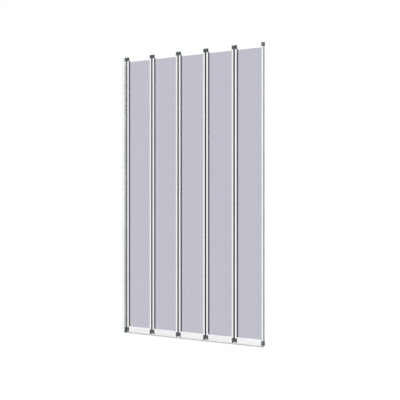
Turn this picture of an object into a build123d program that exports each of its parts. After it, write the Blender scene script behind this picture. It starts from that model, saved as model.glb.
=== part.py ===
"""Folding bath screen: five glazed panels hinged edge to edge on a wall profile.

Millimetres. X runs along the open screen from the wall, Y across it with the shower's
outside at -Y, and Z up. The origin is on the wall, on the screen's centre plane, at the
bath rim. Each joint is a pair of vertical pins joined by short link plates, so the panels
fold flat against each other either way.
"""

import os

from build123d import *

os.makedirs("parts", exist_ok=True)

# --- overall sizes ---
HEIGHT = 1400.0  # wall profile, bath rim to top
PANELS = 5
PITCH = 235.0  # joint centre to joint centre
FIRST_JOINT = 38.5  # wall to the first joint centre
END_REACH = 227.65  # last joint centre to the free edge
WALL = 1.2  # aluminium extrusion wall

# --- hinge line: two pins a folded panel's depth apart ---
DEPTH = 10.0  # profile depth, front to back
FOLD_GAP = 0.3  # air between folded panels
PIN_SPACING = DEPTH + FOLD_GAP
NOSE_R = DEPTH / 2
PIN_R = 2.0
PIN_RUN = 0.05  # radial running clearance of a pin in its fork
PLATE_THICK = 5.0
PLATE_RUN = 0.2  # above and below a link plate
SLOT_BACK = NOSE_R + 0.3  # fork slot behind the pin axis

# --- levels, from the bath rim up and from the top down ---
BLADE_HEIGHT = 7.5
CAP_LIFT = 1.0  # bottom caps over the wiper blade
BOTTOM_CAP_HEIGHT = 22.0
PANE_LIFT = 0.4  # pane over the bottom caps
SEAL_GRIP = 5.5  # seal above the profiles' feet
CAP_DROP = 0.5  # top caps under the top of the wall profile
TOP_CAP_HEIGHT = 18.5
PANE_DROP = 5.0  # pane under the profiles' tops
FLANGE = 0.8  # cap flange on the end of a profile
PLUG_LENGTH = 12.0
PLUG_GAP = 0.1
CAP_FLOOR = 1.2  # solid cap beyond the pin bore
ARCH_HEIGHT = 3.0  # arch under the bottom caps of a joint
PIN_END_GAP = 0.3

CAP_FOOT = BLADE_HEIGHT + CAP_LIFT
ARCH_TOP = CAP_FOOT + ARCH_HEIGHT
PROFILE_FOOT = CAP_FOOT + BOTTOM_CAP_HEIGHT
PANE_FOOT = PROFILE_FOOT + PANE_LIFT
SEAL_TOP = PROFILE_FOOT + SEAL_GRIP
CAP_TOP = HEIGHT - CAP_DROP
PROFILE_TOP = CAP_TOP - TOP_CAP_HEIGHT
PANE_TOP = PROFILE_TOP - PANE_DROP
PROFILE_LENGTH = PROFILE_TOP - PROFILE_FOOT

# --- hinge-side panel profile, measured from its pin axis ---
STRIP_FACE = 1.3  # nose strip seen behind the pin axis, before the metal
NOSE_CHANNEL = 2.4
CHAMBER = 3.3
GLAZING_CHANNEL = 5.8
CHANNEL_FLOOR = STRIP_FACE + NOSE_CHANNEL + WALL + CHAMBER + WALL
PROFILE_WIDTH = CHANNEL_FLOOR + GLAZING_CHANNEL
INSIDE = DEPTH - 2 * WALL  # clear width inside a profile
CORNER = 0.4
STRIP_SHORT = 0.4  # nose strip's foot short of its channel floor
STRIP_GAP = 0.1
STRIP_HOLLOW_DEPTH = 3.0
STRIP_HOLLOW_WIDTH = 4.0

# --- caps on the profile ends ---
SHORT_HEAD = 6.0  # top cap head on a panel's left edge, behind the pin axis
HEAD_CORNER = 1.0
HEAD_EDGE = 0.8
INNER_EDGE = 0.3
ARCH_REACH = 10.0  # arch behind the pin axis

# --- free-end profile ---
END_WIDTH = 13.0
END_CORNER = 1.0
END_EDGE = 0.6
END_CHAMBER = END_WIDTH - GLAZING_CHANNEL - 2 * WALL
END_CAP_INSIDE = 1.5  # end caps past the profile, towards the glass
END_CAP_OUTSIDE = 2.0  # and past the free edge

# --- glazing, gasket and seal ---
GLASS = 3.0
GASKET_BASE = 1.0
LIP_REACH = 5.3  # gasket wedge over the glass face
LIP_EDGE = 0.3
GASKET_GAP = 0.2  # gasket foot over the seal
SEAL_DEPTH = 7.0
SEAL_SKIN = 1.3
SEAL_GAP = 0.5  # seal to caps, end to end
BLADE = 2.4
BLADE_ROUND = 1.0
BLADE_END_GAP = 0.15  # blade short of the nose

# --- wall side ---
WALL_PROFILE_REACH = 26.0
WALL_PROFILE_DEPTH = 20.0
WALL_SKIN = 1.5
SLIDE_GAP = 0.2  # inner profile in the wall profile
INNER_START = 8.0
INNER_END = FIRST_JOINT - PIN_SPACING / 2  # pin axis of the wall side
FOOT_LIFT = 1.5  # inner bottom cap's foot over the bath rim
SHOULDER = 24.8  # front of the inner profile's wide part
INNER_DEPTH = WALL_PROFILE_DEPTH - 2 * WALL_SKIN - 2 * SLIDE_GAP
WALL_HOLE_INSET = 100.0  # outer wall holes from the ends
WALL_HOLE_R = 2.5
ADJUST_INSET = 160.0  # outer adjusting screws from the ends
ADJUST_X = 15.0
SCREW_R = 1.9
SCREW_LENGTH = 6.0
SCREW_CLEARANCE = 0.25
SCREW_HEAD_R = 3.75
SCREW_HEAD_HEIGHT = 2.4
HEAD_ROUND = 1.2
DRIVE_WIDTH = 3.6
DRIVE_SLOT = 0.9
DRIVE_DEPTH = 1.2
COVER_WALL = 1.0
COVER_GAP = 0.1
COVER_ROUND = 0.8

joints = [FIRST_JOINT + k * PITCH for k in range(PANELS)]
free_end = joints[-1] + END_REACH
plate_levels = [(PROFILE_TOP + FLANGE + CAP_TOP) / 2, (ARCH_TOP + PROFILE_FOOT - FLANGE) / 2]
wall_hole_levels = [WALL_HOLE_INSET, HEIGHT / 2, HEIGHT - WALL_HOLE_INSET]
adjust_levels = [ADJUST_INSET, HEIGHT / 2, HEIGHT - ADJUST_INSET]


def level_plane(x, side, z):
    """A horizontal sketch plane on a pin axis, its X pointing into the panel."""
    return Plane(origin=(x, 0, z), x_dir=(side, 0, 0), z_dir=(0, 0, 1))


def block(start, end, depth, mode=Mode.ADD):
    """A rectangle between two distances from the pin axis."""
    with Locations(((start + end) / 2, 0)):
        Rectangle(end - start, depth, mode=mode)


def hinge_profile(x, side):
    """Panel edge extrusion: nose channel, closed chamber and glazing channel."""
    with BuildPart() as profile:
        with BuildSketch(level_plane(x, side, PROFILE_FOOT)) as section:
            block(STRIP_FACE, PROFILE_WIDTH, DEPTH)
            fillet(section.vertices(), CORNER)
            block(STRIP_FACE, STRIP_FACE + NOSE_CHANNEL, INSIDE, Mode.SUBTRACT)
            block(CHANNEL_FLOOR - WALL - CHAMBER, CHANNEL_FLOOR - WALL, INSIDE, Mode.SUBTRACT)
            block(CHANNEL_FLOOR, PROFILE_WIDTH, INSIDE, Mode.SUBTRACT)
        extrude(amount=PROFILE_LENGTH)
    return profile.part


def nose_strip(x, side, face):
    """Rounded strip clipped into the nose channel, hollow along its length. It shows as far as face
    behind the pin axis, or stops short of the axis where face is negative."""
    with BuildPart() as strip:
        with BuildSketch(level_plane(x, side, PROFILE_FOOT)):
            Circle(NOSE_R)
            block(min(face, 0), NOSE_R, DEPTH, Mode.SUBTRACT)
            if face > 0:
                block(0, face, DEPTH)
            block(face, face + NOSE_CHANNEL - STRIP_SHORT, INSIDE - 2 * STRIP_GAP)
            with Locations((min(face, 0), 0)):
                Rectangle(STRIP_HOLLOW_DEPTH, STRIP_HOLLOW_WIDTH, mode=Mode.SUBTRACT)
        extrude(amount=PROFILE_LENGTH)
    return strip.part


def gasket(x, side, floor):
    """Glazing gasket: a U round the glass edge with a wedge over each face."""
    mouth = floor + GLAZING_CHANNEL
    with BuildPart() as rubber:
        with BuildSketch(level_plane(x, side, SEAL_TOP + GASKET_GAP)):
            block(floor, mouth, INSIDE)
            with BuildLine():
                Polyline(
                    (mouth, -DEPTH / 2), (mouth, DEPTH / 2),
                    (mouth + LIP_REACH, GLASS / 2 + LIP_EDGE),
                    (mouth + LIP_REACH, -GLASS / 2 - LIP_EDGE), close=True,
                )
            make_face()
            block(floor + GASKET_BASE, mouth + LIP_REACH + 1, GLASS, Mode.SUBTRACT)
        extrude(amount=PANE_TOP - SEAL_TOP - GASKET_GAP)
    return rubber.part


def nosed_outline(length, radius):
    """Half-round nose on the pin axis running back to a squared end."""
    Circle(NOSE_R)
    with BuildSketch(mode=Mode.PRIVATE) as tail:
        block(0, length, DEPTH)
        fillet(tail.vertices().group_by(Axis.X)[-1], radius)
    add(tail.sketch)


def fork_cap(x, side, top):
    """Cap on a profile end: flange, slotted head for a link plate, and a plug. A bottom cap is
    arched under the pins."""
    out = 1 if top else -1
    seat = PROFILE_TOP if top else PROFILE_FOOT
    tip = CAP_TOP if top else CAP_FOOT
    bore_end = CAP_TOP - CAP_FLOOR if top else ARCH_TOP + CAP_FLOOR
    head = SHORT_HEAD if top and side > 0 else PROFILE_WIDTH
    level = plate_levels[0 if top else 1]
    with BuildPart() as cap:
        with BuildSketch(level_plane(x, side, seat)):
            nosed_outline(PROFILE_WIDTH, CORNER)
        extrude(amount=out * FLANGE)
        with BuildSketch(level_plane(x, side, seat + out * FLANGE)):
            nosed_outline(head, HEAD_CORNER)
        extrude(amount=tip - seat - out * FLANGE)
        fillet(cap.faces().sort_by(Axis.Z)[-1 if top else 0].edges(), HEAD_EDGE)
        if not top:
            with BuildSketch(level_plane(x, side, CAP_FOOT)):
                block(-NOSE_R - 1, ARCH_REACH, DEPTH + 2)
            extrude(amount=ARCH_HEIGHT, mode=Mode.SUBTRACT)
        with BuildSketch(level_plane(x, side, level - PLATE_THICK / 2 - PLATE_RUN)):
            block(-NOSE_R - 1, SLOT_BACK, DEPTH + 2)
        extrude(amount=PLATE_THICK + 2 * PLATE_RUN, mode=Mode.SUBTRACT)
        with BuildSketch(level_plane(x, side, seat)):
            Circle(PIN_R + PIN_RUN)
        extrude(amount=bore_end - seat, mode=Mode.SUBTRACT)
        with BuildSketch(level_plane(x, side, seat)):
            block(CHANNEL_FLOOR - WALL - CHAMBER + PLUG_GAP, CHANNEL_FLOOR - WALL - PLUG_GAP, INSIDE - 2 * PLUG_GAP)
        extrude(amount=-out * PLUG_LENGTH)
    return cap.part


def end_cap(top):
    """Closed cap and plug on the free-end profile, wider than it along the screen."""
    out = 1 if top else -1
    seat = PROFILE_TOP if top else PROFILE_FOOT
    tip = CAP_TOP if top else CAP_FOOT
    with BuildPart() as cap:
        with BuildSketch(level_plane(free_end, -1, seat)) as outline:
            block(-END_CAP_OUTSIDE, END_WIDTH + END_CAP_INSIDE, DEPTH)
            fillet(outline.vertices(), END_CORNER)
        extrude(amount=tip - seat)
        fillet(cap.faces().sort_by(Axis.Z)[-1 if top else 0].edges(), END_EDGE)
        with BuildSketch(level_plane(free_end, -1, seat)):
            block(WALL + PLUG_GAP, WALL + END_CHAMBER - PLUG_GAP, INSIDE - 2 * PLUG_GAP)
        extrude(amount=-out * PLUG_LENGTH)
    return cap.part


def link_section(x, side):
    """Stadium round two pin axes, with the pin bores."""
    with Locations((x, 0), (x + side * PIN_SPACING, 0)):
        Circle(NOSE_R)
    with Locations((x + side * PIN_SPACING / 2, 0)):
        Rectangle(PIN_SPACING, DEPTH)
    with Locations((x, 0), (x + side * PIN_SPACING, 0)):
        Circle(PIN_R, mode=Mode.SUBTRACT)


def hinge_pins(axes):
    """Pins of one joint, top and bottom, on the given axes."""
    with BuildPart() as pins:
        with BuildSketch(Plane.XY.offset(PROFILE_TOP + PIN_END_GAP)):
            with Locations(*[(x, 0) for x in axes]):
                Circle(PIN_R)
        extrude(amount=TOP_CAP_HEIGHT - CAP_FLOOR - 2 * PIN_END_GAP)
        with BuildSketch(Plane.XY.offset(ARCH_TOP + CAP_FLOOR + PIN_END_GAP)):
            with Locations(*[(x, 0) for x in axes]):
                Circle(PIN_R)
        extrude(amount=PROFILE_FOOT - ARCH_TOP - CAP_FLOOR - 2 * PIN_END_GAP)
    return pins.part


def save(name, *solids):
    """Write one node, which may hold several solids."""
    with BuildPart() as node:
        for solid in solids:
            add(solid)
    node.part.label = name
    export_step(node.part, f"parts/{name}.step")


# --- panels ---
for k, joint in enumerate(joints, start=1):
    last = k == PANELS
    left = joint + PIN_SPACING / 2
    right = free_end if last else joint + PITCH - PIN_SPACING / 2
    right_floor = WALL + END_CHAMBER + WALL if last else CHANNEL_FLOOR
    right_mouth = right_floor + GLAZING_CHANNEL
    pane = (left + CHANNEL_FLOOR + GASKET_BASE, right - right_floor - GASKET_BASE)

    with BuildPart() as glass:
        with BuildSketch(Plane.XY.offset(PANE_FOOT)):
            with Locations((sum(pane) / 2, 0)):
                Rectangle(pane[1] - pane[0], GLASS)
        extrude(amount=PANE_TOP - PANE_FOOT)
    save(f"panel_{k}_glass", glass.part)

    save(f"panel_{k}_left_profile", hinge_profile(left, 1))
    if last:
        with BuildPart() as end_profile:
            with BuildSketch(level_plane(right, -1, PROFILE_FOOT)) as section:
                block(0, END_WIDTH, DEPTH)
                fillet(section.vertices(), END_CORNER)
                block(WALL, WALL + END_CHAMBER, INSIDE, Mode.SUBTRACT)
                block(right_floor, END_WIDTH, INSIDE, Mode.SUBTRACT)
            extrude(amount=PROFILE_LENGTH)
        save(f"panel_{k}_end_profile", end_profile.part)
        save(f"panel_{k}_nose_strip", nose_strip(left, 1, STRIP_FACE))
        save(f"panel_{k}_top_cap", fork_cap(left, 1, True))
        save(f"panel_{k}_bottom_cap", fork_cap(left, 1, False))
        save(f"panel_{k}_end_caps", end_cap(True), end_cap(False))
    else:
        save(f"panel_{k}_right_profile", hinge_profile(right, -1))
        save(f"panel_{k}_nose_strips", nose_strip(left, 1, STRIP_FACE), nose_strip(right, -1, STRIP_FACE))
        save(f"panel_{k}_top_caps", fork_cap(left, 1, True), fork_cap(right, -1, True))
        save(f"panel_{k}_bottom_caps", fork_cap(left, 1, False), fork_cap(right, -1, False))
    save(f"panel_{k}_glazing_gaskets",
         gasket(left, 1, CHANNEL_FLOOR), gasket(right, -1, right_floor))

    # Bottom seal: clip round the glass, hollow body between the caps, and a long wiper blade.
    right_cap = END_WIDTH + END_CAP_INSIDE if last else PROFILE_WIDTH
    body = (left + PROFILE_WIDTH + SEAL_GAP, right - right_cap - SEAL_GAP)
    blade = (left - NOSE_R + BLADE_END_GAP,
             right - 2 * BLADE_END_GAP if last else right + NOSE_R - BLADE_END_GAP)
    with BuildPart() as bottom_seal:
        with BuildSketch(Plane.YZ.offset(body[0])):
            with Locations((0, (BLADE_HEIGHT + PROFILE_FOOT - FLANGE - SEAL_GAP) / 2)):
                Rectangle(SEAL_DEPTH, PROFILE_FOOT - FLANGE - SEAL_GAP - BLADE_HEIGHT)
                Rectangle(SEAL_DEPTH - 2 * SEAL_SKIN,
                          PROFILE_FOOT - FLANGE - SEAL_GAP - BLADE_HEIGHT - 2 * SEAL_SKIN,
                          mode=Mode.SUBTRACT)
        extrude(amount=body[1] - body[0])
        with BuildSketch(Plane.YZ.offset(body[0])):
            with Locations((0, (PROFILE_FOOT - FLANGE - SEAL_GAP + SEAL_TOP) / 2)):
                Rectangle(SEAL_DEPTH, SEAL_TOP - PROFILE_FOOT + FLANGE + SEAL_GAP)
            with Locations((0, (PANE_FOOT + SEAL_TOP) / 2)):
                Rectangle(GLASS, SEAL_TOP - PANE_FOOT, mode=Mode.SUBTRACT)
        extrude(amount=body[1] - body[0])
        with BuildSketch(Plane.YZ.offset(blade[0])) as blade_section:
            with Locations((0, BLADE_HEIGHT / 2)):
                Rectangle(BLADE, BLADE_HEIGHT)
            fillet(blade_section.vertices().group_by(Axis.Z)[0], BLADE_ROUND)
        extrude(amount=blade[1] - blade[0])
    save(f"panel_{k}_bottom_seal", bottom_seal.part)

# --- links of the four joints between panels ---
for k, joint in enumerate(joints[1:], start=1):
    first = joint - PIN_SPACING / 2
    with BuildPart() as link_plates:
        for level in plate_levels:
            with BuildSketch(Plane.XY.offset(level - PLATE_THICK / 2)):
                link_section(first, 1)
            extrude(amount=PLATE_THICK)
    save(f"link_{k}_plates", link_plates.part)
    save(f"link_{k}_pins", hinge_pins([first, first + PIN_SPACING]))

# --- wall profile: open channel with wall-fixing holes and adjusting holes ---
with BuildPart() as wall_profile:
    with BuildSketch():
        block(0, WALL_PROFILE_REACH, WALL_PROFILE_DEPTH)
        block(WALL_SKIN, WALL_PROFILE_REACH, WALL_PROFILE_DEPTH - 2 * WALL_SKIN, Mode.SUBTRACT)
    extrude(amount=HEIGHT)
    with BuildSketch(Plane.YZ):
        with Locations(*[(0, z) for z in wall_hole_levels]):
            Circle(WALL_HOLE_R)
    extrude(amount=WALL_SKIN, mode=Mode.SUBTRACT)
    with BuildSketch(Plane.XZ.offset(-WALL_PROFILE_DEPTH / 2)):
        with Locations(*[(ADJUST_X, z) for z in adjust_levels]):
            Circle(SCREW_R + SCREW_CLEARANCE)
    extrude(amount=WALL_SKIN, mode=Mode.SUBTRACT)
save("wall_profile", wall_profile.part)

# --- inner profile: slides in the wall profile, with a neck that carries the hinge ---
neck_end = INNER_END + STRIP_FACE
neck_web = neck_end - NOSE_CHANNEL - WALL
with BuildPart() as inner_profile:
    with BuildSketch(Plane.XY.offset(PROFILE_FOOT)):
        block(INNER_START, SHOULDER, INNER_DEPTH)
        block(INNER_START, SHOULDER - WALL, INNER_DEPTH - 2 * WALL, Mode.SUBTRACT)
        block(SHOULDER, neck_end, DEPTH)
        block(SHOULDER, neck_web, INSIDE, Mode.SUBTRACT)
        block(neck_end - NOSE_CHANNEL, neck_end, INSIDE, Mode.SUBTRACT)
    extrude(amount=PROFILE_LENGTH)
    with BuildSketch(Plane.XZ.offset(-INNER_DEPTH / 2)):
        with Locations(*[(ADJUST_X, z) for z in adjust_levels]):
            Circle(SCREW_R)
    extrude(amount=WALL, mode=Mode.SUBTRACT)
save("inner_profile", inner_profile.part)
save("inner_nose_strip", nose_strip(INNER_END, -1, -STRIP_FACE))

# --- inner caps: cover the inner profile and reach out as the fixed half of the first joint ---
inner_caps = []
for out, seat, tip, level in (
    (1, PROFILE_TOP, CAP_TOP, plate_levels[0]),
    (-1, PROFILE_FOOT, CAP_FOOT, plate_levels[1]),
):
    with BuildPart() as inner_cap:
        with BuildSketch(Plane.XY.offset(seat)):
            block(INNER_START, SHOULDER, INNER_DEPTH)
        extrude(amount=out * FLANGE)
        with BuildSketch(level_plane(INNER_END, -1, seat)):
            nosed_outline(INNER_END - SHOULDER, CORNER)
        extrude(amount=tip - seat)
        if out < 0:
            with BuildSketch(level_plane(INNER_END, -1, FOOT_LIFT)):
                block(0, INNER_END - SHOULDER, DEPTH)
            extrude(amount=ARCH_TOP - FOOT_LIFT)
            with BuildSketch(level_plane(INNER_END, -1, CAP_FOOT)):
                block(-NOSE_R - 1, 0, DEPTH + 2)
            extrude(amount=ARCH_HEIGHT, mode=Mode.SUBTRACT)
        fillet(inner_cap.faces().sort_by(Axis.Z)[-1 if out > 0 else 0].edges(), INNER_EDGE)
        with BuildSketch(Plane.XY.offset(level - PLATE_THICK / 2)):
            link_section(INNER_END, 1)
            with Locations((INNER_END, 0)):
                Circle(NOSE_R)
        extrude(amount=PLATE_THICK)
        with BuildSketch(Plane.XY.offset(seat)):
            block(SHOULDER + PLUG_GAP, neck_web - PLUG_GAP, INSIDE - 2 * PLUG_GAP)
        extrude(amount=-out * PLUG_LENGTH)
    inner_caps.append(inner_cap.part)
save("inner_caps", *inner_caps)
save("wall_hinge_pins", hinge_pins([INNER_END + PIN_SPACING]))

# --- adjusting screws through the back of the wall profile, and their covers ---
back_plane = Plane.XZ.offset(-WALL_PROFILE_DEPTH / 2)
with BuildPart() as adjusting_screws:
    with BuildSketch(back_plane):
        with Locations(*[(ADJUST_X, z) for z in adjust_levels]):
            Circle(SCREW_HEAD_R)
    extrude(amount=-SCREW_HEAD_HEIGHT)
    fillet(adjusting_screws.faces().group_by(Axis.Y)[-1].edges(), HEAD_ROUND)
    with BuildSketch(back_plane):
        with Locations(*[(ADJUST_X, z) for z in adjust_levels]):
            Circle(SCREW_R)
    extrude(amount=SCREW_LENGTH)
    with BuildSketch(back_plane.offset(-SCREW_HEAD_HEIGHT)):
        with Locations(*[(ADJUST_X, z) for z in adjust_levels]):
            Rectangle(DRIVE_WIDTH, DRIVE_SLOT)
            Rectangle(DRIVE_SLOT, DRIVE_WIDTH)
    extrude(amount=DRIVE_DEPTH, mode=Mode.SUBTRACT)
save("adjusting_screws", adjusting_screws.part)

with BuildPart() as screw_covers:
    with BuildSketch(back_plane):
        with Locations(*[(ADJUST_X, z) for z in adjust_levels]):
            Circle(SCREW_HEAD_R + COVER_GAP + COVER_WALL)
    extrude(amount=-(SCREW_HEAD_HEIGHT + 2 * COVER_GAP + COVER_WALL))
    fillet(screw_covers.faces().group_by(Axis.Y)[-1].edges(), COVER_ROUND)
    with BuildSketch(back_plane):
        with Locations(*[(ADJUST_X, z) for z in adjust_levels]):
            Circle(SCREW_HEAD_R + COVER_GAP)
    extrude(amount=-(SCREW_HEAD_HEIGHT + 2 * COVER_GAP), mode=Mode.SUBTRACT)
save("screw_covers", screw_covers.part)
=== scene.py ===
import math

import bmesh
import bpy
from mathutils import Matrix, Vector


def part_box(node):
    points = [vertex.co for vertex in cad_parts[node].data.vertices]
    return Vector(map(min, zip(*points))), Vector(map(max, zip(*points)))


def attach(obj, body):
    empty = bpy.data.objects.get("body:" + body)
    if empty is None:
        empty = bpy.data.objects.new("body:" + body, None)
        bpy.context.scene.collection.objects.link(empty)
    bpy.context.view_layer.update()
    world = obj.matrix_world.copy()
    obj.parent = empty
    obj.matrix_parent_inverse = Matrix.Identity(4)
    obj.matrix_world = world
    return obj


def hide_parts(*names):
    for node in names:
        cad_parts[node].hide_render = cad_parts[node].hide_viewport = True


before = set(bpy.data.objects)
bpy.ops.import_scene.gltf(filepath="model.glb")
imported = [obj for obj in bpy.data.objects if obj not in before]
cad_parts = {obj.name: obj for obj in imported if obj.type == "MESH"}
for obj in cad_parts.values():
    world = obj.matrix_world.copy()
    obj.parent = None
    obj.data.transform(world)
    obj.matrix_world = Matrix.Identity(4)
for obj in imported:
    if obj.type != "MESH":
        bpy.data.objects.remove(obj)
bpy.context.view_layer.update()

# The viewpoint: a long lens standing off the bath's outside and beyond the free end, level with
# the middle of the screen, so that the open panels run away to the wall on the left.
bpy.ops.object.camera_add(location=(8.2116, -5.1675, 0.676),
                          rotation=(math.radians(90), 0, math.radians(55.51)))
viewpoint = bpy.context.object
viewpoint.data.lens = 171.05
viewpoint.data.clip_end = 60
bpy.context.scene.camera = viewpoint
bpy.context.scene.view_settings.view_transform = "Standard"

# The studio floor: a pale painted disc, a bath's height under the screen's foot, which catches its
# soft shadow and is white to the lens like the paper round it.
mid_screen, bath_height, lift_for_lens = 0.6, 0.56, 0.42
bpy.ops.object.select_all(action="DESELECT")
bpy.ops.mesh.primitive_circle_add(vertices=96, radius=3.4, fill_type="NGON",
                                  location=(mid_screen, 0, -bath_height))
studio_floor = bpy.context.object
studio_floor.name = "studio_floor"
floor_paint = bpy.data.materials.new("floor_paint")
floor_paint.use_nodes = True
tree = floor_paint.node_tree
tree.nodes.clear()
paint, lift, both, paper, through, seen, out = (
    tree.nodes.new("ShaderNode" + kind)
    for kind in ("BsdfDiffuse", "Emission", "AddShader", "Emission", "MixShader", "LightPath",
                 "OutputMaterial")
)
paint.inputs["Color"].default_value = (0.80, 0.80, 0.80, 1)
to_lens = tree.nodes.new("ShaderNodeMath")
to_lens.operation = "MULTIPLY"
to_lens.inputs[1].default_value = lift_for_lens
tree.links.new(seen.outputs["Is Camera Ray"], to_lens.inputs[0])
tree.links.new(to_lens.outputs[0], lift.inputs["Strength"])
tree.links.new(paint.outputs[0], both.inputs[0])
tree.links.new(lift.outputs[0], both.inputs[1])
tree.links.new(seen.outputs["Is Transmission Ray"], through.inputs["Fac"])
tree.links.new(both.outputs[0], through.inputs[1])
tree.links.new(paper.outputs[0], through.inputs[2])
tree.links.new(through.outputs[0], out.inputs["Surface"])
studio_floor.data.materials.append(floor_paint)
studio_floor.visible_glossy = False

# The studio light: a white room all round, a little dimmer towards the free end so that metal has a
# light and a shaded side, with one broad soft lamp in front and a weaker one behind.
room_light = 0.60
room = bpy.data.worlds.new("room")
room.use_nodes = True
bpy.context.scene.world = room
tree = room.node_tree
tree.nodes.clear()
out = tree.nodes.new("ShaderNodeOutputWorld")
paper = tree.nodes.new("ShaderNodeBackground")
paper.inputs["Color"].default_value = (1, 1, 1, 1)
seen = tree.nodes.new("ShaderNodeLightPath")
way = tree.nodes.new("ShaderNodeTexCoord")
parts_of_way = tree.nodes.new("ShaderNodeSeparateXYZ")
dimming = tree.nodes.new("ShaderNodeMapRange")
for socket, value in (("From Min", -0.9), ("From Max", 0.9), ("To Min", 1.13), ("To Max", 0.39)):
    dimming.inputs[socket].default_value = value
tree.links.new(way.outputs["Generated"], parts_of_way.inputs[0])
tree.links.new(parts_of_way.outputs["X"], dimming.inputs["Value"])
steps = []
for ray, value in (("Is Glossy Ray", None), ("Is Transmission Ray", 1.0), ("Is Camera Ray", 1.0)):
    step = tree.nodes.new("ShaderNodeMix")
    step.inputs["A"].default_value = room_light
    tree.links.new(seen.outputs[ray], step.inputs["Factor"])
    if value is None:
        tree.links.new(dimming.outputs[0], step.inputs["B"])
    else:
        step.inputs["B"].default_value = value
        tree.links.new(steps[-1].outputs[0], step.inputs["A"])
    steps.append(step)
tree.links.new(steps[-1].outputs[0], paper.inputs["Strength"])
tree.links.new(paper.outputs[0], out.inputs["Surface"])


def soft_lamp(name, place, aim, size, power):
    """A square softbox turned towards a point."""
    bpy.ops.object.light_add(type="AREA", location=place)
    lamp = bpy.context.object
    lamp.name = name
    lamp.data.shape = "SQUARE"
    lamp.data.size = size
    lamp.data.energy = power
    away = lamp.location - type(lamp.location)(aim)
    lamp.rotation_euler = away.to_track_quat("Z", "Y").to_euler()
    lamp.visible_camera = False


screen_middle = (mid_screen, 0, 0.7)
soft_lamp("front_softbox", (2.2, -4.0, 4.4), screen_middle, size=2.4, power=215)
soft_lamp("back_softbox", (-1.0, 4.0, 4.4), screen_middle, size=2.4, power=90)


# The aluminium: wall profile, the inner profile that slides in it, and the panels' edge profiles.
# They are extruded, satin anodised in a pale silver, and cut to length, so the die's fine lines run
# up and down them.
def new_finish(name, **constants):
    """A material on Object coordinates, with its plain values set on the shader itself."""
    material = bpy.data.materials.new(name)
    material.use_nodes = True
    shader = material.node_tree.nodes["Principled BSDF"]
    for socket, value in constants.items():
        shader.inputs[socket.replace("_", " ")].default_value = value
    return material


def speckle(material, scale, detail):
    """Noise with its own stretch along each axis, in marks per metre."""
    nodes, links = material.node_tree.nodes, material.node_tree.links
    place = nodes.get("place") or nodes.new("ShaderNodeTexCoord")
    place.name = "place"
    stretch, noise = nodes.new("ShaderNodeMapping"), nodes.new("ShaderNodeTexNoise")
    stretch.inputs["Scale"].default_value = scale
    noise.inputs["Scale"].default_value = 1
    noise.inputs["Detail"].default_value = detail
    noise.inputs["Roughness"].default_value = 0.55
    links.new(place.outputs["Object"], stretch.inputs["Vector"])
    links.new(stretch.outputs[0], noise.inputs["Vector"])
    return noise.outputs["Fac"]


def vary(material, marks, socket, low, high):
    """Carries a value from low to high, or a colour from one to another, over the noise's middle range."""
    nodes, links = material.node_tree.nodes, material.node_tree.links
    shader = nodes["Principled BSDF"]
    noise_low, noise_high = 0.5 - 0.16, 0.5 + 0.16
    if isinstance(low, tuple):
        ramp = nodes.new("ShaderNodeValToRGB")
        for stop, position, colour in zip(ramp.color_ramp.elements, (noise_low, noise_high), (low, high)):
            stop.position, stop.color = position, (*colour, 1)
        links.new(marks, ramp.inputs["Fac"])
        links.new(ramp.outputs["Color"], shader.inputs[socket])
    else:
        span = nodes.new("ShaderNodeMapRange")
        for name, value in (("From Min", noise_low), ("From Max", noise_high),
                            ("To Min", low), ("To Max", high)):
            span.inputs[name].default_value = value
        links.new(marks, span.inputs["Value"])
        links.new(span.outputs[0], shader.inputs[socket])


def emboss(material, marks, height, strength):
    """Raises the surface by marks, over what is already raised."""
    nodes, links = material.node_tree.nodes, material.node_tree.links
    shader = nodes["Principled BSDF"]
    bump = nodes.new("ShaderNodeBump")
    bump.inputs["Distance"].default_value = height
    bump.inputs["Strength"].default_value = strength
    links.new(marks, bump.inputs["Height"])
    if shader.inputs["Normal"].is_linked:
        links.new(shader.inputs["Normal"].links[0].from_socket, bump.inputs["Normal"])
    links.new(bump.outputs[0], shader.inputs["Normal"])


def finish_in(material, *names):
    """Gives solid parts their finish."""
    for name in names:
        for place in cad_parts[name].material_slots:
            place.material = material


anodised = new_finish("satin_anodised_aluminium", Metallic=1.0)
die_lines = speckle(anodised, (1400, 1400, 2.5), 3)
vary(anodised, speckle(anodised, (120, 120, 5), 5), "Base Color",
     (0.835, 0.842, 0.846), (0.885, 0.892, 0.896))
vary(anodised, die_lines, "Roughness", 0.36, 0.46)
emboss(anodised, die_lines, 0.00002, 0.2)
emboss(anodised, speckle(anodised, (3200, 3200, 3200), 2), 0.000012, 0.1)
profiles = [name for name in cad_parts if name.endswith("_profile")]
finish_in(anodised, *profiles)

# The panes: thin flat sheets with a light grey-lilac tone, slid into the edge profiles from their
# ends. Their edges are ground, with a small arris, and the faces have a trace of roller wave.
def blank(name, low, high):
    """A block between two corners, left in edit mode with nothing else selected: the start of a piece."""
    if bpy.context.mode != "OBJECT":
        bpy.ops.object.mode_set(mode="OBJECT")
    bpy.ops.object.select_all(action="DESELECT")
    bpy.ops.mesh.primitive_cube_add(size=1, location=[(a + b) / 2 for a, b in zip(low, high)],
                                    scale=[b - a for a, b in zip(low, high)])
    bpy.ops.object.transform_apply()
    piece = bpy.context.object
    piece.name = piece.data.name = name
    bpy.ops.object.mode_set(mode="EDIT")
    return piece


def pick_faces(test):
    """Selects the faces, by their middle and the way that they look."""
    bpy.ops.mesh.select_mode(type="FACE")
    bpy.ops.mesh.select_all(action="DESELECT")
    mesh = bmesh.from_edit_mesh(bpy.context.edit_object.data)
    for face in mesh.faces:
        face.select_set(bool(test(face.calc_center_median(), face.normal)))
    bmesh.update_edit_mesh(bpy.context.edit_object.data)


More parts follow.
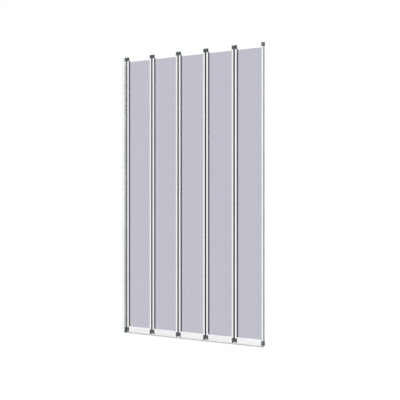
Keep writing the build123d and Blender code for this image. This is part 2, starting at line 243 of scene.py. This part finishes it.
def pick_edges(test):
    """Selects the edges, by their middle and their direction."""
    bpy.ops.mesh.select_mode(type="EDGE")
    bpy.ops.mesh.select_all(action="DESELECT")
    mesh = bmesh.from_edit_mesh(bpy.context.edit_object.data)
    for edge in mesh.edges:
        start, end = (corner.co for corner in edge.verts)
        edge.select_set(bool(test((start + end) / 2, (end - start).normalized())))
    bmesh.update_edit_mesh(bpy.context.edit_object.data)


def fit(piece, body, material_slot, *nodes):
    """Closes a finished piece, lets it ride on its body and stand for its solids."""
    bpy.ops.object.mode_set(mode="OBJECT")
    bpy.ops.object.shade_smooth_by_angle(angle=math.radians(35))
    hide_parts(*nodes)
    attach(piece, body)


panel_count, arris = 5, 0.0004
tinted = new_finish("grey_lilac_pane", Base_Color=(0.485, 0.487, 0.556, 1), Transmission_Weight=1.0, IOR=1.5)
vary(tinted, speckle(tinted, (60, 60, 30), 6), "Roughness", 0.0, 0.012)
emboss(tinted, speckle(tinted, (6, 6, 14), 2), 0.0002, 0.05)
ground = new_finish("ground_pane_edge", Base_Color=(0.62, 0.66, 0.67, 1), Transmission_Weight=0.6, IOR=1.5)
vary(ground, speckle(ground, (900, 900, 900), 4), "Roughness", 0.35, 0.55)
emboss(ground, speckle(ground, (5000, 5000, 5000), 2), 0.00003, 0.5)
for k in range(1, panel_count + 1):
    low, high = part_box(f"panel_{k}_glass")
    pane = blank(f"pane_{k}", low, high)
    bpy.ops.mesh.select_all(action="SELECT")
    bpy.ops.mesh.bevel(offset=arris, segments=1, affect="EDGES")
    pane.data.materials.append(tinted)
    pane.data.materials.append(ground)
    pick_faces(lambda middle, facing: abs(facing.y) < 0.99)
    pane.active_material_index = 1
    bpy.ops.object.material_slot_assign()
    fit(pane, f"panel_{k}", "glazing", f"panel_{k}_glass")

# The glazing gaskets: dark grey rubber pushed in round the pane's long edges. Each is a foot in the
# profile's channel and a wedge lip, with a bead and a groove, that lies down to the glass.
rubber = new_finish("dark_grey_gasket_rubber", Specular_IOR_Level=0.3)
vary(rubber, speckle(rubber, (300, 300, 20), 4), "Base Color", (0.052, 0.053, 0.06), (0.072, 0.073, 0.08))
vary(rubber, speckle(rubber, (900, 900, 60), 4), "Roughness", 0.5, 0.7)
emboss(rubber, speckle(rubber, (2500, 2500, 500), 3), 0.00003, 0.4)
low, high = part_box("panel_1_glazing_gaskets")
glass_face, channel_face, lip_out = 0.00153, 0.0037, 0.005
foot_depth, channel_depth = 0.0056, 0.0058
flare, bead, wedge, wedge_end = 0.0001, 0.0006, 0.0046, 0.08
groove_at, groove_side, groove_depth, groove_lean = 0.0021, 0.0003, 0.0003, 0.0001
bead_round, tip_round = 0.00032, 0.0001
near, weld = 1e-5, 1e-6
strip = blank("gasket_strip", (-foot_depth, -channel_face, low.z), (0, -glass_face, high.z))
on_glass = (0, -glass_face, 0)
flare_width = (lip_out - glass_face) / (channel_face - glass_face)
for step, widen in ((flare, flare_width), (bead, 1), (wedge, wedge_end)):
    pick_faces(lambda middle, facing: facing.x > 0.99 and middle.x > -0.001)
    bpy.ops.mesh.extrude_region_move(TRANSFORM_OT_translate={"value": (step, 0, 0)})
    bpy.ops.transform.resize(value=(1, widen, 1), center_override=on_glass)
for cut in (groove_at - groove_side, groove_at, groove_at + groove_side):
    bpy.ops.mesh.select_all(action="SELECT")
    bpy.ops.mesh.bisect(plane_co=(cut, 0, 0), plane_no=(1, 0, 0), threshold=weld)
pick_edges(lambda middle, along: abs(along.z) > 0.99 and abs(middle.x - groove_at) < near
           and middle.y < -glass_face - groove_depth)
bpy.ops.transform.translate(value=(-groove_lean, groove_depth, 0))
pick_edges(lambda middle, along: abs(along.z) > 0.99 and middle.y < bead_round - lip_out)
bpy.ops.mesh.bevel(offset=bead_round, segments=3, affect="EDGES")
pick_edges(lambda middle, along: abs(along.z) > 0.99 and middle.x > flare + bead + wedge - tip_round
           and middle.y < -glass_face - tip_round)
bpy.ops.mesh.bevel(offset=tip_round, segments=2, affect="EDGES")
strip.data.materials.append(rubber)
bpy.ops.object.mode_set(mode="OBJECT")


def take(piece):
    """Makes a piece the active object and the only one selected."""
    bpy.ops.object.select_all(action="DESELECT")
    piece.select_set(True)
    bpy.context.view_layer.objects.active = piece


def mirrored_copy(master, name, end, face, place):
    """A copy with its own mesh, turned end for end or face for face (-1) and moved along the screen."""
    take(master)
    bpy.ops.object.duplicate()
    copy = bpy.context.object
    copy.name = name
    bpy.ops.object.mode_set(mode="EDIT")
    bpy.ops.mesh.select_all(action="SELECT")
    bpy.ops.transform.resize(value=(end, face, 1), center_override=(0, 0, 0))
    bpy.ops.transform.translate(value=(place, 0, 0))
    bpy.ops.mesh.remove_doubles(threshold=weld)
    bpy.ops.mesh.normals_make_consistent(inside=False)
    bpy.ops.object.mode_set(mode="OBJECT")
    return copy


for k in range(1, panel_count + 1):
    low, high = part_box(f"panel_{k}_glazing_gaskets")
    mouths = ((1, low.x + channel_depth), (-1, high.x - channel_depth))
    four = [mirrored_copy(strip, f"gasket_set_{k}", end, face, mouth)
            for end, mouth in mouths for face in (1, -1)]
    for piece in four:
        piece.select_set(True)
    bpy.context.view_layer.objects.active = four[0]
    bpy.ops.object.join()
    fit(four[0], f"panel_{k}", "gasket", f"panel_{k}_glazing_gaskets")
bpy.data.objects.remove(strip)

# The nose strips: half-round strips of dark grey plastic that clip into the edge profiles and close
# the joint between two panels.
strip_plastic = new_finish("nose_strip_plastic", Specular_IOR_Level=0.15)
vary(strip_plastic, speckle(strip_plastic, (500, 500, 8), 4), "Base Color",
     (0.026, 0.027, 0.027), (0.037, 0.038, 0.038))
vary(strip_plastic, speckle(strip_plastic, (900, 900, 30), 4), "Roughness", 0.42, 0.6)
emboss(strip_plastic, speckle(strip_plastic, (1800, 1800, 4), 3), 0.00003, 0.4)
finish_in(strip_plastic, *[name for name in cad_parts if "nose_strip" in name])

# The bottom seals: near-white soft PVC pushed up on the glass. Two legs grip the pane, a hollow body
# fills the space between the caps, and a wiper blade, painted grey as the shade line along the seal's
# foot, runs on under them to the next panel's.
soft_pvc = new_finish("near_white_soft_pvc", Transmission_Weight=0.18, IOR=1.45, Specular_IOR_Level=0.4)
vary(soft_pvc, speckle(soft_pvc, (30, 300, 300), 4), "Base Color", (0.94, 0.95, 0.955), (0.975, 0.98, 0.985))
vary(soft_pvc, speckle(soft_pvc, (8, 900, 900), 4), "Roughness", 0.28, 0.42)
emboss(soft_pvc, speckle(soft_pvc, (6, 1500, 1500), 3), 0.00004, 0.35)
# The blade's grey is painted shade: it stands in for the shade line along the seal's foot.
blade_painted_shade_pvc = new_finish("wiper_pvc_painted_shade", Transmission_Weight=0.15, IOR=1.45, Specular_IOR_Level=0.4)
vary(blade_painted_shade_pvc, speckle(blade_painted_shade_pvc, (30, 300, 300), 4), "Base Color", (0.56, 0.57, 0.575), (0.63, 0.64, 0.64))
vary(blade_painted_shade_pvc, speckle(blade_painted_shade_pvc, (8, 900, 900), 4), "Roughness", 0.35, 0.5)
emboss(blade_painted_shade_pvc, speckle(blade_painted_shade_pvc, (6, 1500, 1500), 3), 0.00004, 0.35)
half, skin, leg, wiper = 0.0035, 0.0013, 0.00153, 0.0012
fin_in, fin_out, fin_lean, fin_drop, fin_narrow = 0.0023, 0.0030, 0.0001, 0.0024, 0.55
end_gap, cap_flange, cap_air, glass_air = 0.0005, 0.0008, 0.001, 0.00002
neck, web, foot_air = 0.0017, 0.0040, 0.00001
rounding, groove = 0.0004, 0.0004
body_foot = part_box("panel_1_bottom_caps")[0].z - cap_air
body_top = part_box("panel_1_left_profile")[0].z - cap_flange - end_gap
grip_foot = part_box("panel_1_glass")[0].z - glass_air
groove_levels = (body_foot + 0.0053, body_top - 0.0046)


def bottom_seal(name, low, high, start, end):
    """One seal: its blade fills the box from low to high, and its body and legs run from start to end."""
    seal = blank(name, (start, -half, body_foot), (end, half, body_top))
    pick_faces(lambda middle, facing: abs(facing.x) > 0.99)
    bpy.ops.mesh.inset(thickness=skin, use_individual=True)
    bpy.ops.mesh.delete(type="FACE")
    pick_edges(lambda middle, along: abs(along.x) < 0.01 and abs(middle.y) < half - skin / 2
               and body_foot + skin / 2 < middle.z < body_top - skin / 2)
    bpy.ops.mesh.bridge_edge_loops()
    for across in (-fin_out, -fin_in, -leg, -wiper, wiper, leg, fin_in, fin_out):
        bpy.ops.mesh.select_all(action="SELECT")
        bpy.ops.mesh.bisect(plane_co=(0, across, 0), plane_no=(0, 1, 0), threshold=weld)
    pick_faces(lambda middle, facing: facing.z > 0.99 and abs(middle.z - body_top) < near)
    bpy.ops.mesh.extrude_region_move(TRANSFORM_OT_translate={"value": (0, 0, grip_foot - body_top)})
    pick_faces(lambda middle, facing: facing.z > 0.99 and abs(middle.z - grip_foot) < near
               and abs(middle.y) > leg)
    bpy.ops.mesh.extrude_region_move(TRANSFORM_OT_translate={"value": (0, 0, high.z - grip_foot)})

    def under(middle, facing):
        return facing.z < -0.99 and middle.z < body_foot + near

    for side in (-1, 1):
        pick_faces(lambda middle, facing: under(middle, facing) and fin_in < side * middle.y < fin_out)
        bpy.ops.mesh.extrude_region_move(TRANSFORM_OT_translate={"value": (0, side * fin_lean, -fin_drop)})
        bpy.ops.transform.resize(value=(1, fin_narrow, 1),
                                 center_override=(0, side * (fin_in + fin_out) / 2, 0))
    for drop, narrow in ((neck, 1), (web, 0.85), (body_foot - neck - web - foot_air, 0.7)):
        pick_faces(lambda middle, facing: under(middle, facing) and abs(middle.y) < wiper)
        bpy.ops.mesh.extrude_region_move(TRANSFORM_OT_translate={"value": (0, 0, -drop)})
        bpy.ops.transform.resize(value=(1, narrow, 1), center_override=(0, 0, 0))
    for side, reach in ((-1, start - low.x), (1, high.x - end)):
        pick_faces(lambda middle, facing: side * facing.x > 0.99 and middle.z < body_foot
                   and abs(middle.y) < wiper)
        bpy.ops.mesh.extrude_region_move(TRANSFORM_OT_translate={"value": (side * reach, 0, 0)})
    for level in [middle + step for middle in groove_levels for step in (-groove, 0, groove)]:
        bpy.ops.mesh.select_all(action="SELECT")
        bpy.ops.mesh.bisect(plane_co=(0, 0, level), plane_no=(0, 0, 1), threshold=weld)
    for side in (-1, 1):
        pick_edges(lambda middle, along: abs(along.x) > 0.99 and side * middle.y > half - near
                   and min(abs(middle.z - level) for level in groove_levels) < near)
        bpy.ops.transform.translate(value=(0, -side * groove, 0))
    pick_edges(lambda middle, along: abs(along.x) > 0.99 and abs(middle.y) > half - near
               and (middle.z < body_foot + near or middle.z > high.z - near))
    bpy.ops.mesh.bevel(offset=rounding, segments=3, affect="EDGES")
    pick_edges(lambda middle, along: abs(along.x) > 0.99 and abs(abs(middle.y) - leg) < near
               and middle.z > high.z - near)
    bpy.ops.mesh.bevel(offset=rounding, segments=2, affect="EDGES")
    bpy.ops.mesh.select_all(action="SELECT")
    bpy.ops.mesh.remove_doubles(threshold=weld)
    bpy.ops.mesh.normals_make_consistent(inside=False)
    seal.data.materials.append(soft_pvc)
    seal.data.materials.append(blade_painted_shade_pvc)
    # The blade's faces take the painted-shade grey.
    pick_faces(lambda middle, facing: middle.z < body_foot - near and abs(middle.y) < wiper + near)
    seal.active_material_index = 1
    bpy.ops.object.material_slot_assign()
    bpy.ops.object.mode_set(mode="OBJECT")
    return seal


low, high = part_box("panel_1_bottom_seal")
seals = [bottom_seal("seal_1", low, high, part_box("panel_1_left_profile")[1].x + end_gap,
                     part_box("panel_1_right_profile")[0].x - end_gap)]
for k in range(2, panel_count):
    seals.append(mirrored_copy(seals[0], f"seal_{k}", 1, 1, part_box(f"panel_{k}_bottom_seal")[0].x - low.x))
low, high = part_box("panel_5_bottom_seal")
seals.append(bottom_seal("seal_5", low, high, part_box("panel_5_left_profile")[1].x + end_gap,
                         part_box("panel_5_end_caps")[0].x - end_gap))
for k, seal in enumerate(seals, start=1):
    take(seal)
    fit(seal, f"panel_{k}", "seal", f"panel_{k}_bottom_seal")

# The caps: slate-grey moulded plastic with a fine eroded texture, pressed into both ends of each
# edge profile, slotted for the links and rounded at the head.
cap_plastic = new_finish("slate_grey_cap_plastic", Specular_IOR_Level=0.35)
vary(cap_plastic, speckle(cap_plastic, (140, 140, 140), 5), "Base Color",
     (0.062, 0.077, 0.088), (0.08, 0.096, 0.107))
vary(cap_plastic, speckle(cap_plastic, (700, 700, 700), 4), "Roughness", 0.45, 0.6)
emboss(cap_plastic, speckle(cap_plastic, (4200, 4200, 4200), 3), 0.00004, 0.5)
finish_in(cap_plastic, *[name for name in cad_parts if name.endswith(("_caps", "_cap"))])

# The free end's caps: one over each end of the last profile, closed, in a slate grey painted lighter
# than the joint caps' as painted light on the exposed free end, with every edge eased by the mould.
# They are pressed in like the others.
end_cap_painted_light_plastic = new_finish("slate_end_caps_painted_lighter", Specular_IOR_Level=0.35)
# Painted light: the caps' plastic recipe with a lighter colour, standing in for the brighter light at the
# free end.
vary(end_cap_painted_light_plastic, speckle(end_cap_painted_light_plastic, (140, 140, 140), 5), "Base Color",
     (0.108, 0.126, 0.142), (0.132, 0.152, 0.168))
vary(end_cap_painted_light_plastic, speckle(end_cap_painted_light_plastic, (700, 700, 700), 4), "Roughness", 0.45, 0.6)
emboss(end_cap_painted_light_plastic, speckle(end_cap_painted_light_plastic, (4200, 4200, 4200), 3), 0.00004, 0.5)


def eased_copy(node, name, easing):
    """A copy of a solid part with its sharp edges eased, left in edit mode."""
    piece = bpy.data.objects.new(name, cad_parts[node].data.copy())
    bpy.context.collection.objects.link(piece)
    take(piece)
    piece.data.materials.clear()
    bpy.ops.mesh.customdata_custom_splitnormals_clear()
    bpy.ops.object.mode_set(mode="EDIT")
    bpy.ops.mesh.select_all(action="SELECT")
    bpy.ops.mesh.remove_doubles(threshold=0.00001)
    bpy.ops.mesh.dissolve_limited(angle_limit=math.radians(0.5))
    bpy.ops.mesh.normals_make_consistent(inside=False)
    bpy.ops.mesh.select_mode(type="EDGE")
    bpy.ops.mesh.select_all(action="DESELECT")
    bpy.ops.mesh.edges_select_sharp(sharpness=math.radians(40))
    bpy.ops.mesh.bevel(offset=easing, segments=2, affect="EDGES")
    return piece


end_caps = eased_copy("panel_5_end_caps", "end_caps", easing=0.00025)
end_caps.data.materials.append(end_cap_painted_light_plastic)
fit(end_caps, "panel_5", "end_cap", "panel_5_end_caps")

# The links: glass-filled nylon plates with eased edges, one at the top and one at the foot of each
# joint between panels. They lie in the caps' slots and hold the two pins together.
nylon = new_finish("dark_link_nylon", Specular_IOR_Level=0.35)
vary(nylon, speckle(nylon, (400, 400, 400), 5), "Base Color", (0.035, 0.042, 0.048), (0.06, 0.068, 0.075))
vary(nylon, speckle(nylon, (900, 900, 900), 4), "Roughness", 0.5, 0.68)
emboss(nylon, speckle(nylon, (3000, 3000, 3000), 3), 0.00005, 0.5)
for k in range(1, panel_count):
    plates = eased_copy(f"link_{k}_plates", f"links_{k}", easing=0.0003)
    plates.data.materials.append(nylon)
    fit(plates, f"link_{k}", "link", f"link_{k}_plates")

# The pins and the adjusting screws: stainless steel, turned, with fine rings round them. The pins are
# pressed into the links, or into the wall side's caps, and turn in the panels' caps. The screws lock
# the inner profile in the wall profile.
steel = new_finish("turned_stainless_steel", Metallic=1.0)
vary(steel, speckle(steel, (200, 200, 5000), 4), "Base Color", (0.55, 0.55, 0.56), (0.66, 0.66, 0.67))
vary(steel, speckle(steel, (150, 150, 6000), 4), "Roughness", 0.22, 0.36)
emboss(steel, speckle(steel, (100, 100, 7000), 3), 0.00002, 0.4)
finish_in(steel, "adjusting_screws", *[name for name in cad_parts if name.endswith("_pins")])

# The screw covers: pale grey moulded plastic with a fine texture, snapped over the adjusting
# screws' heads on the back of the wall profile.
cover_plastic = new_finish("pale_grey_cover_plastic")
vary(cover_plastic, speckle(cover_plastic, (220, 220, 220), 4), "Base Color",
     (0.76, 0.77, 0.78), (0.80, 0.81, 0.82))
vary(cover_plastic, speckle(cover_plastic, (800, 800, 800), 4), "Roughness", 0.24, 0.34)
emboss(cover_plastic, speckle(cover_plastic, (2600, 2600, 2600), 3), 0.00002, 0.3)
finish_in(cover_plastic, "screw_covers")
